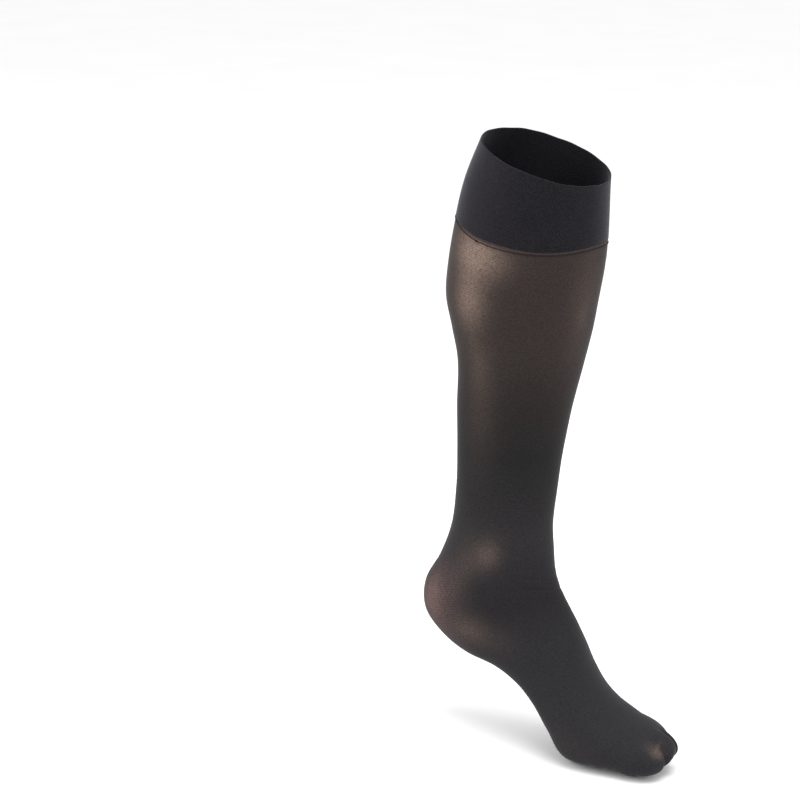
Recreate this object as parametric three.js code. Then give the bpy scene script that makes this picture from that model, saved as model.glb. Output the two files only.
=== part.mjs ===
// A knee-high compression stocking for the left leg, filled out as it is worn with the heel raised.
// Frame: the origin is the middle of the top rim, where the leg holds the stocking. +Z runs up the leg,
// +X towards the toes and +Y to the outer side of the leg. Lengths are in millimetres, angles in degrees.
import * as THREE from 'three';

// Cloth thickness of the pieces, and how far the double band stands out beyond the leg's surface.
const BAND_WALL = 2.0;
const BAND_PROUD = 0.3;
const KNIT_WALL = 1.2;

// The band's height along the leg at its sides, and the gap left where two pieces meet.
const BAND_HEIGHT = 61.5;
const SEAM_GAP = 0.3;

// The band's lower edge lies this much higher at the front and at the back, and over this way below it the
// leg's sections level out again.
const EDGE_RISE = { front: 9, back: 4 };
const RISE_FADE = 70;

// The turned top edge of the band rises this much between its two faces.
const RIM_ROUND = 0.8;

// Points round each section, and the spacing of the sections along each piece.
const ROUND_POINTS = 36;
const BAND_STEP = 9;
const LEG_STEP = 11;
const FOOT_STEP = 7.5;
const CREASE_STEP = 3.8;
const TOE_RINGS = 9;

// The closed toes run on this far beyond the last section. They end squarer from above than from the side.
const TOE_LENGTH = 38;
const TOE_FULLNESS = { across: 2.4, along: 2 };

// One row for each section through the filled stocking, from the top rim to the toes.
// x and z place its middle and pitch tips its front up; front, back, inner and outer are its half sizes;
// shift moves it to the outer side, turn swings its face that way, flat is the fullness of its back or sole,
// and ridge moves the top of the foot to the inner side.
const SECTION_COLUMNS = [
  'x', 'z', 'pitch', 'front', 'back', 'inner', 'outer', 'shift', 'turn', 'flat', 'ridge',
];
const SECTION_ROWS = {
  rim:        [   0,    0, -19,   52,   51, 52, 52,  0,  0, 2.1,  0],
  bandMiddle: [  -8,  -32, -14, 58.5,   57, 54, 54,  0,  0, 2.1,  0],
  bandFoot:   [ -14,  -65, -10, 62.5,   59, 56, 56,  0,  0, 2.1,  0],
  calfTop:    [ -18,  -90,  -6,   63,   60, 56, 56,  0,  0, 2.1,  0],
  calfFull:   [ -20, -115,  -3, 60.5,   60, 55, 55,  0,  0, 2.1,  0],
  calfLow:    [ -22, -138,  -2, 58.5, 52.5, 52, 52,  0,  0, 2.1,  0],
  calfEnd:    [ -24, -165,  -2, 54.5,   46, 46, 46,  0,  0, 2.1,  0],
  shin:       [ -27, -205,  -2, 47.5, 44.5, 41, 41,  0,  0, 2.1,  0],
  shinLow:    [ -30, -240,   0, 44.5,   42, 37, 37,  0,  0, 2.1,  0],
  ankleThin:  [ -33, -272,   2,   44, 41.5, 33, 33,  0,  0, 2.0,  0],
  ankle:      [ -36, -303,   4, 43.5,   43, 33, 33,  0,  0, 1.9,  0],
  ankleBone:  [ -38, -327,   8,   47,   52, 35, 35,  0,  0, 1.9,  0],
  heelTop:    [ -42, -348,  12,   54,   64, 35, 35,  0,  0, 2.0,  0],
  heelMiddle: [ -40, -366,  17, 57.5,   67, 34, 34,  0,  0, 2.1,  0],
  heelLow:    [ -32, -380,  23,   56, 59.5, 34, 34,  0,  0, 2.2,  0],
  heelFront:  [ -18, -391,  28, 50.5, 52.5, 33, 33,  0,  0, 2.2,  2],
  archRear:   [  -2, -401,  33,   43,   38, 33, 32,  0,  0, 2.3,  4],
  arch:       [  13, -413,  38,   36,   30, 34, 33,  0,  0, 2.4,  7],
  archFront:  [  26, -426,  42,   29, 26.5, 37, 34,  0,  2, 2.5,  9],
  ballRear:   [  39, -441,  46, 26.5,   26, 42, 35,  0,  4, 2.5, 11],
  ball:       [  55, -453,  52, 24.5,   30, 44, 37, -1,  6, 2.5, 11],
  ballFront:  [  73, -458,  65,   19,   23, 43, 36, -1, 10, 2.5,  9],
  toeRoot:    [  89, -461,  79,   17,   19, 40, 35, -2, 16, 2.4,  5],
};
const FRONT_FULLNESS = 2.1;

// These half sizes stop changing at the last section, so that the closed toe carries on smoothly from it.
const LEVEL_AT_TOE = ['front', 'back', 'inner', 'outer'];

const DEGREE = Math.PI / 180;
const SECTION_NAMES = Object.keys(SECTION_ROWS);

// Soft creases across the front of the ankle. at is the distance along the leg from the rim, middle the angle
// round the section where the crease is deepest, span its half length round the leg, drop how far its outer
// end falls along the leg, depth and width its trough.
const CREASE_COLUMNS = ['at', 'middle', 'span', 'drop', 'depth', 'width'];
const CREASES = [
  [344, -14, 52, 7, 0.7, 3.4],
  [356,  -2, 44, 5, 0.8, 3.2],
  [369, -10, 50, 6, 0.6, 3.6],
].map((row) => Object.fromEntries(CREASE_COLUMNS.map((column, i) => [column, row[i]])));

// Distance along the leg of each section, from the spacing of their middles.
const stations = SECTION_NAMES.reduce((found, name, i) => {
  if (i === 0) return [0];
  const [x, z] = SECTION_ROWS[name];
  const [lastX, lastZ] = SECTION_ROWS[SECTION_NAMES[i - 1]];
  return [...found, found[i - 1] + Math.hypot(x - lastX, z - lastZ)];
}, []);
const stationOf = (name) => stations[SECTION_NAMES.indexOf(name)];
const CLOSED_END = stations[stations.length - 1];

// A smooth curve through one column of the table, as a cubic with the slope of its two neighbours.
function columnAt(column, station) {
  const values = SECTION_NAMES.map((name) => SECTION_ROWS[name][column]);
  const last = stations.length - 1;
  const slope = (i) => {
    if (i === last && LEVEL_AT_TOE.includes(SECTION_COLUMNS[column])) return 0;
    const [low, high] = [Math.max(i - 1, 0), Math.min(i + 1, last)];
    return (values[high] - values[low]) / (stations[high] - stations[low]);
  };
  const after = stations.findIndex((s) => s > station);
  const i = after < 0 ? last - 1 : Math.max(after - 1, 0);
  const width = stations[i + 1] - stations[i];
  const u = (station - stations[i]) / width;
  return (1 + 2 * u) * (1 - u) ** 2 * values[i] + u * (1 - u) ** 2 * width * slope(i)
    + u * u * (3 - 2 * u) * values[i + 1] + u * u * (u - 1) * width * slope(i + 1);
}

function sectionAt(station) {
  const at = Math.min(station, CLOSED_END);
  return Object.fromEntries(SECTION_COLUMNS.map((name, column) => [name, columnAt(column, at)]));
}

// How deep the creases are at a point of the surface.
function troughDepth(station, angle) {
  let depth = 0;
  for (const crease of CREASES) {
    const off = (((angle - crease.middle + 540) % 360) - 180) / crease.span;
    if (Math.abs(off) < 1) {
      const away = (station - crease.at - crease.drop * off) / crease.width;
      depth += crease.depth * Math.cos(off * Math.PI / 2) ** 2 * Math.exp(-away * away);
    }
  }
  return depth;
}

// How much of its size a section keeps at a share of the way along the closed toes.
function toeShrink(toe, fullness) {
  return (1 - toe ** fullness) ** (1 / fullness);
}

// The smooth outer surface. An angle of 0 is the front or top, 90 the outer side, 180 the back or sole.
function formPoint(station, angle) {
  const s = sectionAt(station);
  const cosine = Math.cos(angle * DEGREE);
  const sine = Math.sin(angle * DEGREE);
  const fullness = cosine > 0 ? FRONT_FULLNESS : s.flat;
  const alongPower = Math.sign(cosine) * Math.abs(cosine) ** (2 / fullness);
  const acrossPower = Math.sign(sine) * Math.abs(sine) ** (2 / fullness);
  const toe = Math.min(Math.max(station - CLOSED_END, 0) / TOE_LENGTH, 1);
  const along = (cosine > 0 ? s.front : s.back) * alongPower * toeShrink(toe, TOE_FULLNESS.along);
  const across = ((sine > 0 ? s.outer : s.inner) * acrossPower
    - s.ridge * Math.max(alongPower, 0) ** 2) * toeShrink(toe, TOE_FULLNESS.across);
  const [pitch, turn] = [s.pitch * DEGREE, s.turn * DEGREE];
  const travel = new THREE.Vector3(Math.sin(pitch), 0, -Math.cos(pitch));
  const frontWay = new THREE.Vector3(Math.cos(pitch), 0, Math.sin(pitch));
  const outerWay = new THREE.Vector3(0, Math.cos(turn), 0).addScaledVector(travel, -Math.sin(turn));
  return new THREE.Vector3(s.x, s.shift, s.z)
    .addScaledVector(frontWay, along)
    .addScaledVector(outerWay, across)
    .addScaledVector(travel, TOE_LENGTH * toe);
}

// The outward normal, across two short steps along and round the surface.
function formNormal(station, angle) {
  const step = 0.2;
  const down = formPoint(station + step, angle).sub(formPoint(station - step, angle));
  const round = formPoint(station, angle + step).sub(formPoint(station, angle - step));
  return down.cross(round).normalize();
}

// Where a ring that is level at the sides lies at an angle, near the band's slanting edge.
function risenStation(station, angle) {
  const cosine = Math.cos(angle * DEGREE);
  const rise = EDGE_RISE.front * Math.max(cosine, 0) ** 3 + EDGE_RISE.back * Math.max(-cosine, 0) ** 2;
  const share = Math.min(station / BAND_HEIGHT, 1 - (station - BAND_HEIGHT) / RISE_FADE);
  return station - rise * Math.max(share, 0);
}

// A ring of points on the cloth, out from the leg's surface by proud, or inside it where proud is negative.
function ring(station, proud) {
  return Array.from({ length: ROUND_POINTS }, (_, i) => {
    const angle = i * 360 / ROUND_POINTS;
    const at = risenStation(station, angle);
    const out = proud - troughDepth(at, angle);
    return formPoint(at, angle).addScaledVector(formNormal(at, angle), out);
  });
}

// Stations from one end of a piece to the other, near the wanted step apart.
function spread(from, to, step) {
  const count = Math.max(Math.round((to - from) / step), 1);
  return Array.from({ length: count + 1 }, (_, i) => from + (to - from) * i / count);
}

// One closed body from rings of points. The last ring joins the first, or each end closes on its own pole.
function bodyFromRings(rings, poles) {
  const count = ROUND_POINTS;
  const points = rings.flat();
  const faces = [];
  const bands = poles ? rings.length - 1 : rings.length;
  for (let r = 0; r < bands; r += 1) {
    const next = (r + 1) % rings.length;
    for (let i = 0; i < count; i += 1) {
      const j = (i + 1) % count;
      const [a, b, c, d] = [r * count + i, r * count + j, next * count + j, next * count + i];
      faces.push(a, b, c, a, c, d);
    }
  }
  if (poles) {
    points.push(...poles);
    const [first, last] = [points.length - 2, points.length - 1];
    const start = (rings.length - 1) * count;
    for (let i = 0; i < count; i += 1) {
      const j = (i + 1) % count;
      faces.push(first, j, i, last, start + i, start + j);
    }
  }
  const geometry = new THREE.BufferGeometry();
  geometry.setAttribute('position', new THREE.Float32BufferAttribute(points.flatMap((p) => [p.x, p.y, p.z]), 3));
  geometry.setIndex(faces);
  geometry.computeVertexNormals();
  return geometry;
}

// A tube of cloth open at both ends: up its inside and down its outside.
function tube(stationsDown, proud, wall, rimRound = 0) {
  const outside = stationsDown.map((station) => ring(station, proud));
  const inside = stationsDown.map((station) => ring(station, proud - wall)).reverse();
  const edge = rimRound > 0 ? [ring(stationsDown[0] - rimRound, proud - wall / 2)] : [];
  return bodyFromRings([...outside, ...inside, ...edge].reverse());
}

// A pocket of cloth: open at its first station and closed at the toes.
function pocket(stationsDown, wall) {
  const middle = new THREE.Vector3(...['x', 'shift', 'z'].map((name) => sectionAt(CLOSED_END)[name]));
  const tip = formPoint(CLOSED_END + TOE_LENGTH, 0);
  const forward = tip.clone().sub(middle).normalize();
  const outside = stationsDown.map((station) => ring(station, 0)).reverse();
  const inside = stationsDown.map((station) => ring(station, -wall));
  return bodyFromRings([...outside, ...inside], [tip, tip.clone().addScaledVector(forward, -wall)]);
}

function knit(color, roughness, opacity = 1) {
  return new THREE.MeshStandardMaterial({ color, roughness, metalness: 0, opacity, transparent: opacity < 1 });
}

const bandCloth = knit(0x26242a, 0.85);
const sheerCloth = knit(0x463f3d, 0.6);
const footCloth = knit(0x363537, 0.62);

const legTop = BAND_HEIGHT + SEAM_GAP;
const ankleEdge = stationOf('ankle');
const forefootEdge = stationOf('ballRear');
const creaseStart = CREASES[0].at - 9;
const creaseEnd = CREASES[CREASES.length - 1].at + 10;

const footStations = [
  ...spread(ankleEdge + SEAM_GAP, creaseStart, FOOT_STEP),
  ...spread(creaseStart, creaseEnd, CREASE_STEP).slice(1),
  ...spread(creaseEnd, forefootEdge, FOOT_STEP).slice(1),
];
const forefootStations = [
  ...spread(forefootEdge + SEAM_GAP, CLOSED_END, FOOT_STEP),
  ...Array.from({ length: TOE_RINGS }, (_, i) => (
    CLOSED_END + TOE_LENGTH * (1 - (1 - (i + 1) / (TOE_RINGS + 0.5)) ** 2))),
];

const pieces = [
  ['top_band', tube(spread(0, BAND_HEIGHT, BAND_STEP), BAND_PROUD, BAND_WALL, RIM_ROUND), bandCloth],
  ['leg', tube(spread(legTop, ankleEdge, LEG_STEP), 0, KNIT_WALL), sheerCloth],
  ['foot', tube(footStations, 0, KNIT_WALL), footCloth],
  ['forefoot', pocket(forefootStations, KNIT_WALL), footCloth],
];

const stocking = new THREE.Group();
for (const [name, geometry, material] of pieces) {
  const mesh = new THREE.Mesh(geometry, material);
  mesh.name = name;
  stocking.add(mesh);
}

export default stocking;
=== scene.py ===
"""A knee-high compression stocking in its worn shape, heel raised and toes on the floor.

One seamless knitted tube carries a dense elastic top band, a sheer leg, and a heavier foot
with a closed toe. Lengths are in millimetres until a mesh is made, and the frame is the CAD
model's: the origin in the middle of the mouth, +X towards the toes, +Y to the outer side and
+Z up. A place on the cloth is named by its station, the way down from the rim, and its angle,
0 at the front or top, 90 on the outer side and 180 at the back or sole.
"""

import logging
import math
from dataclasses import dataclass, field
from enum import Enum

import bpy
import numpy as np
from mathutils import Matrix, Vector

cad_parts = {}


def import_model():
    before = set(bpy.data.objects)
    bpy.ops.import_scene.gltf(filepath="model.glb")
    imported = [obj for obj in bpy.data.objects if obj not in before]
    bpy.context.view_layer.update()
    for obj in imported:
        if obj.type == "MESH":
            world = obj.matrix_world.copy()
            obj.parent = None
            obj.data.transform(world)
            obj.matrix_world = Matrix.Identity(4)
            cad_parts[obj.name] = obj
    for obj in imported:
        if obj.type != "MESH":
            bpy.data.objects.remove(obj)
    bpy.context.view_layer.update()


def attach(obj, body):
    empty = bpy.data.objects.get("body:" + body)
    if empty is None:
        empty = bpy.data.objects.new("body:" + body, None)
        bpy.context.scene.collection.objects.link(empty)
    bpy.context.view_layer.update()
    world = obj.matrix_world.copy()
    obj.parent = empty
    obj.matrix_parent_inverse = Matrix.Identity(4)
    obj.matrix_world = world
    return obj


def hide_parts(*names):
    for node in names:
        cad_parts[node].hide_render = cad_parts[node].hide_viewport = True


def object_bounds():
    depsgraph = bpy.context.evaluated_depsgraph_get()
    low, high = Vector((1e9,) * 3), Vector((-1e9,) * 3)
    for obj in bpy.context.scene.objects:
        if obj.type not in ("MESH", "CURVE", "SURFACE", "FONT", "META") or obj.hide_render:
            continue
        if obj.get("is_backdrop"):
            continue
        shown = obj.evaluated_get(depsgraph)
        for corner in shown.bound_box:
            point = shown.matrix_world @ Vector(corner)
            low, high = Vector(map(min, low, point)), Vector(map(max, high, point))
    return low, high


LOG = logging.getLogger("stocking")
MM = 0.001


class Slot(Enum):
    """The record's material slots; nothing in this script takes a finish from them."""

    BAND = "band_knit"
    LEG = "leg_knit"


def linear(colour: str) -> tuple[float, float, float, float]:
    """Turns an sRGB hex colour into the linear values that a shader takes.

    Args:
        colour: Six hex digits after a hash sign.

    Returns:
        Red, green and blue in linear light, and an alpha of 1.
    """
    parts = np.array([int(colour[i : i + 2], 16) for i in (1, 3, 5)]) / 255.0
    straight = np.where(parts <= 0.04045, parts / 12.92, ((parts + 0.055) / 1.055) ** 2.4)
    return (float(straight[0]), float(straight[1]), float(straight[2]), 1.0)


def add_node(
    tree: bpy.types.NodeTree,
    kind: str,
    inputs: dict[str | int, object] | None = None,
    **settings: object,
) -> bpy.types.Node:
    """Adds one node to a tree, with its settings, its values and what is linked into it.

    Args:
        tree: The material's node tree.
        kind: Blender's name of the node type.
        inputs: For each input, by name or number, the socket linked to it or its value.
        settings: The node's own options.

    Returns:
        The new node.
    """
    node = tree.nodes.new(kind)
    for name, value in settings.items():
        setattr(node, name, value)
    for name, value in (inputs or {}).items():
        if isinstance(value, bpy.types.NodeSocket):
            tree.links.new(value, node.inputs[name])
        else:
            node.inputs[name].default_value = value
    return node


def empty_material(name: str) -> bpy.types.Material:
    """Makes a material whose node tree is still empty.

    Args:
        name: Its name.

    Returns:
        The material.
    """
    material = bpy.data.materials.new(name)
    material.use_nodes = True
    material.node_tree.nodes.clear()
    return material


def away_from(middle: float, angle: np.ndarray) -> np.ndarray:
    """How far angles are from a middle one, in degrees from -180 to 180."""
    return (angle - middle + 180) % 360 - 180


def bell(off: np.ndarray, wide: float | np.ndarray) -> np.ndarray:
    """A bell, which is e to the power of minus the squared share of its half width."""
    return np.exp(-((off / wide) ** 2))


@dataclass(frozen=True)
class StockingForm:
    """The worn shape: sections down the leg and along the foot, and a closed toe.

    Each row of sections gives a section's middle (x, z), its pitch, its four half sizes, its
    sideways shift, the turn of its toe line, the fullness of its sole side, and how far the top
    leans to the inner side.
    """

    columns: tuple[str, ...] = (
        "x", "z", "pitch", "front", "back", "inner", "outer", "shift", "turn", "flat", "ridge",
    )
    sections: tuple[tuple[float, ...], ...] = (
        (0, 0, -19, 52, 51, 52, 52, 0, 0, 2.1, 0),
        (-8, -32, -14, 58.5, 57, 54, 54, 0, 0, 2.1, 0),
        (-14, -65, -10, 62.5, 59, 56, 56, 0, 0, 2.1, 0),
        (-18, -90, -6, 63, 60, 56, 56, 0, 0, 2.1, 0),
        (-20, -115, -3, 60.5, 60, 55, 55, 0, 0, 2.1, 0),
        (-22, -138, -2, 58.5, 52.5, 52, 52, 0, 0, 2.1, 0),
        (-24, -165, -2, 54.5, 46, 46, 46, 0, 0, 2.1, 0),
        (-27, -205, -2, 47.5, 44.5, 41, 41, 0, 0, 2.1, 0),
        (-30, -240, 0, 44.5, 42, 37, 37, 0, 0, 2.1, 0),
        (-33, -272, 2, 44, 41.5, 33, 33, 0, 0, 2.0, 0),
        (-36, -303, 4, 43.5, 43, 33, 33, 0, 0, 1.9, 0),
        (-38, -327, 8, 47, 52, 35, 35, 0, 0, 1.9, 0),
        (-42, -348, 12, 54, 64, 35, 35, 0, 0, 2.0, 0),
        (-40, -366, 17, 57.5, 67, 34, 34, 0, 0, 2.1, 0),
        (-32, -380, 23, 56, 59.5, 34, 34, 0, 0, 2.2, 0),
        (-18, -391, 28, 50.5, 52.5, 33, 33, 0, 0, 2.2, 2),
        (-2, -401, 33, 43, 38, 33, 32, 0, 0, 2.3, 4),
        (13, -413, 38, 36, 30, 34, 33, 0, 0, 2.4, 7),
        (26, -426, 42, 29, 26.5, 37, 34, 0, 2, 2.5, 9),
        (39, -441, 46, 26.5, 26, 42, 35, 0, 4, 2.5, 11),
        (55, -453, 52, 24.5, 30, 44, 37, -1, 6, 2.5, 11),
        (73, -458, 65, 19, 23, 43, 36, -1, 10, 2.5, 9),
        (89, -461, 79, 17, 19, 40, 35, -2, 16, 2.4, 5),
    )
    level_at_toe: tuple[str, ...] = ("front", "back", "inner", "outer")
    front_fullness: float = 2.1
    toe_length: float = 38.0
    toe_across: float = 2.4
    toe_along: float = 2.0

    @property
    def stations(self) -> np.ndarray:
        """Each section's way down from the rim, the sum of the steps between the middles."""
        middles = np.array(self.sections)[:, :2]
        steps = np.hypot(*np.diff(middles, axis=0).T)
        return np.concatenate([[0.0], np.cumsum(steps)])

    @property
    def closed_end(self) -> float:
        """The station where the toe starts to close."""
        return float(self.stations[-1])

    @property
    def tip(self) -> float:
        """The station of the tip of the toe."""
        return self.closed_end + self.toe_length

    def column(self, name: str, station: np.ndarray) -> np.ndarray:
        """A section value at any station, on a smooth curve through the sections.

        The curve is a cubic between neighbours whose slope at a section is the rise from the one
        before it to the one after it over the way between them. Past the last section it holds.

        Args:
            name: The column.
            station: The stations, of any shape.

        Returns:
            The values, in the stations' shape.
        """
        knots = self.stations
        values = np.array(self.sections)[:, self.columns.index(name)].astype(float)
        slopes = np.empty_like(values)
        slopes[1:-1] = (values[2:] - values[:-2]) / (knots[2:] - knots[:-2])
        slopes[0] = (values[1] - values[0]) / (knots[1] - knots[0])
        slopes[-1] = (values[-1] - values[-2]) / (knots[-1] - knots[-2])
        if name in self.level_at_toe:
            slopes[-1] = 0.0
        low = np.clip(np.searchsorted(knots, station, side="right") - 1, 0, len(knots) - 2)
        long = knots[low + 1] - knots[low]
        t = (np.minimum(station, knots[-1]) - knots[low]) / long
        return (
            (2 * t**3 - 3 * t**2 + 1) * values[low]
            + (t**3 - 2 * t**2 + t) * long * slopes[low]
            + (3 * t**2 - 2 * t**3) * values[low + 1]
            + (t**3 - t**2) * long * slopes[low + 1]
        )

    def section_offsets(
        self, station: np.ndarray, angle: np.ndarray
    ) -> tuple[np.ndarray, np.ndarray]:
        """How far the surface stands from the section's middle, along it and across it.

        A section is a closed curve of four quarters: along is the half size times the cosine
        to the power 2 over the fullness, across the same with the sine. Over the toe both
        shrink as 1 less the way into the toe to a power, rooted by that power.

        Args:
            station: The stations.
            angle: The angles in degrees.

        Returns:
            The way towards the front or top, and the way towards the outer side.
        """
        cosine, sine = np.cos(np.radians(angle)), np.sin(np.radians(angle))
        flat = self.column("flat", station)
        fullness = np.where(cosine > 0, self.front_fullness, flat)
        ahead = np.sign(cosine) * np.abs(cosine) ** (2 / fullness)
        aside = np.sign(sine) * np.abs(sine) ** (2 / fullness)
        toe = np.clip((station - self.closed_end) / self.toe_length, 0, 1)
        narrow = (1 - toe**self.toe_across) ** (1 / self.toe_across)
        thin = (1 - toe**self.toe_along) ** (1 / self.toe_along)
        depth = np.where(cosine > 0, self.column("front", station), self.column("back", station))
        width = np.where(sine > 0, self.column("outer", station), self.column("inner", station))
        lean = self.column("ridge", station) * np.maximum(ahead, 0) ** 2
        return depth * ahead * thin, (width * aside - lean) * narrow

    def base(self, station: np.ndarray, angle: np.ndarray) -> np.ndarray:
        """The smooth surface, without folds.

        A point is the section's middle, plus the way along in the section's own front
        direction, plus the way across, which the turn slants back on the outer side.

        Args:
            station: The stations.
            angle: The angles in degrees.

        Returns:
            Points, with x, y and z on the last axis.
        """
        station, angle = np.broadcast_arrays(np.asarray(station, float), np.asarray(angle, float))
        along, across = self.section_offsets(station, angle)
        pitch = np.radians(self.column("pitch", station))
        turn = np.radians(self.column("turn", station))
        toe = np.clip((station - self.closed_end) / self.toe_length, 0, 1) * self.toe_length
        travel = toe - across * np.sin(turn)
        x = self.column("x", station) + np.cos(pitch) * along + np.sin(pitch) * travel
        y = self.column("shift", station) + across * np.cos(turn)
        z = self.column("z", station) + np.sin(pitch) * along - np.cos(pitch) * travel
        return np.stack([x, y, z], axis=-1)

    def normal(self, station: np.ndarray, angle: np.ndarray) -> np.ndarray:
        """The outward direction: the cross product of the steps down and round the surface.

        Args:
            station: The stations.
            angle: The angles in degrees.

        Returns:
            Unit vectors on the last axis.
        """
        step = 0.4
        low = np.minimum(station - step, self.tip - 2.2 * step)
        down = self.base(low + 2 * step, angle) - self.base(low, angle)
        inside = np.minimum(station, self.tip - step)
        round_it = self.base(inside, angle + step) - self.base(inside, angle - step)
        out = np.cross(down, round_it)
        return out / np.maximum(np.linalg.norm(out, axis=-1, keepdims=True), 1e-9)


@dataclass(frozen=True)
class Folds:
    """The soft troughs and dips of the cloth, each listed.

    A trough runs round part of the leg at a station: middle and span are its place and half
    length in degrees, drop how far its ends run down or up, depth and width in millimetres.
    """

    names: tuple[str, ...] = ("at", "middle", "span", "drop", "depth", "width")
    troughs: tuple[tuple[float, ...], ...] = (
        (344, -14, 52, 7, 0.7, 3.4),
        (356, -2, 44, 5, 0.8, 3.2),
        (369, -10, 50, 6, 0.6, 3.6),
        (350, -36, 26, 5, 0.50, 1.4),
        (361, -34, 27, 6, 0.65, 1.3),
        (364.5, -24, 22, 5, 0.55, 1.3),
        (374, -30, 24, 5, 0.45, 1.4),
        (351, 36, 24, -5, 0.45, 1.4),
        (363, 30, 26, -5, 0.55, 1.4),
        (372, 34, 22, -4, 0.45, 1.5),
        (333, 180, 40, 2, 0.25, 2.6),
        (341, 176, 34, -2, 0.22, 2.2),
        (514, -6, 42, -3, 0.30, 2.6),
        (522, 8, 36, 2, 0.25, 2.2),
        (76, 20, 60, 1, 0.12, 3.0),
    )
    wander: float = 0.16

    def depth(self, form: StockingForm, station: np.ndarray, angle: np.ndarray) -> np.ndarray:
        """How far the cloth lies under the smooth form.

        A trough's depth falls off as the squared cosine along it and as a bell across it. The
        slight wander of a stretched knit is a sum of slow waves.

        Args:
            form: The smooth form.
            station: The stations.
            angle: The angles in degrees.

        Returns:
            Depths in millimetres, in the stations' shape.
        """
        station, angle = np.broadcast_arrays(np.asarray(station, float), np.asarray(angle, float))
        total = np.zeros(station.shape)
        for at, middle, span, drop, depth, width in self.troughs:
            off = away_from(middle, angle) / span
            near = np.where(np.abs(off) < 1, np.cos(off * np.pi / 2) ** 2, 0.0)
            total += depth * near * bell(station - at - drop * off, width)
        turn = np.radians(angle)
        slow = np.sin(2 * turn + station / 23) * np.sin(station / 31 + 1.3)
        quick = np.sin(5 * turn - station / 17) * np.sin(station / 13 + 0.4)
        fade = np.clip((form.tip - station) / 30, 0, 1)
        return total + self.wander * fade * (slow + 0.5 * quick)


@dataclass(frozen=True)
class Toes:
    """How the toes show through the closed end, and the pads under the foot.

    Each toe has its middle and half width across the foot, and how far it moves the end of the
    cloth ahead and up. Each dip between two toes has its middle, depth and half width. Each pad
    has its station, angle, half length, half width in degrees, and height. All are in
    millimetres.
    """

    toes: tuple[tuple[float, float, float, float], ...] = (
        (-28, 14, -2.0, -1.0),
        (-5, 7.0, 0.5, 5.0),
        (8, 5.0, 1.5, 2.4),
        (20.5, 5.0, -5.0, 1.0),
        (31, 5.0, -6.0, 1.0),
    )
    dips: tuple[tuple[float, float, float], ...] = (
        (-14.5, 3.2, 2.4),
        (4.5, 4.5, 2.0),
        (13.5, 7.0, 2.0),
        (25.5, 3.0, 2.0),
    )
    pads: tuple[tuple[float, float, float, float, float], ...] = (
        (507, 212, 15, 42, 2.7),
        (538, 225, 9, 36, 2.2),
    )
    dip_start: float = 550.0
    reach_start: float = 543.0

    def share(self, form: StockingForm, start: float, station: np.ndarray) -> np.ndarray:
        """A smooth rise from 0 at the start to 1 at the tip: thrice the square less twice the cube."""
        onto = np.clip((station - start) / (form.tip - start), 0, 1)
        return 3 * onto**2 - 2 * onto**3

    def lift(self, form: StockingForm, station: np.ndarray, angle: np.ndarray) -> np.ndarray:
        """How far the pads raise the cloth, less the dips between the toes.

        Pads and dips are bells. A dip deepens towards the tip and lets go just before it.

        Args:
            form: The smooth form.
            station: The stations.
            angle: The angles in degrees.

        Returns:
            Millimetres outwards.
        """
        across = form.section_offsets(station, angle)[1]
        rise = self.share(form, self.dip_start, station)
        total = np.zeros(station.shape)
        for middle, depth, width in self.dips:
            total -= depth * rise * bell(across - middle, width)
        for at, middle, long, wide, height in self.pads:
            off = away_from(middle, angle)
            total += height * np.exp(-(((station - at) / long) ** 2) - (off / wide) ** 2)
        return total

    def ahead(self, form: StockingForm, station: np.ndarray, angle: np.ndarray) -> np.ndarray:
        """How far the toes move the closed end, ahead and up.

        Each way is the toes' own, averaged with bells across the foot as weights, and it grows
        smoothly over the closed end.

        Args:
            form: The smooth form.
            station: The stations.
            angle: The angles in degrees.

        Returns:
            Moves in millimetres, with x, y and z on the last axis.
        """
        across = form.section_offsets(station, angle)[1][..., None]
        middle, width, reach, rise = np.array(self.toes).T
        weight = bell(across - middle, width) + 1e-9
        weight = weight / weight.sum(axis=-1, keepdims=True)
        share = self.share(form, self.reach_start, station)
        far = (weight * reach).sum(axis=-1) * share
        high = (weight * rise).sum(axis=-1) * share
        pitch = np.radians(form.column("pitch", station))
        return np.stack(
            [
                np.sin(pitch) * far + np.cos(pitch) * high,
                np.zeros(far.shape),
                np.sin(pitch) * high - np.cos(pitch) * far,
            ],
            axis=-1,
        )


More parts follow.
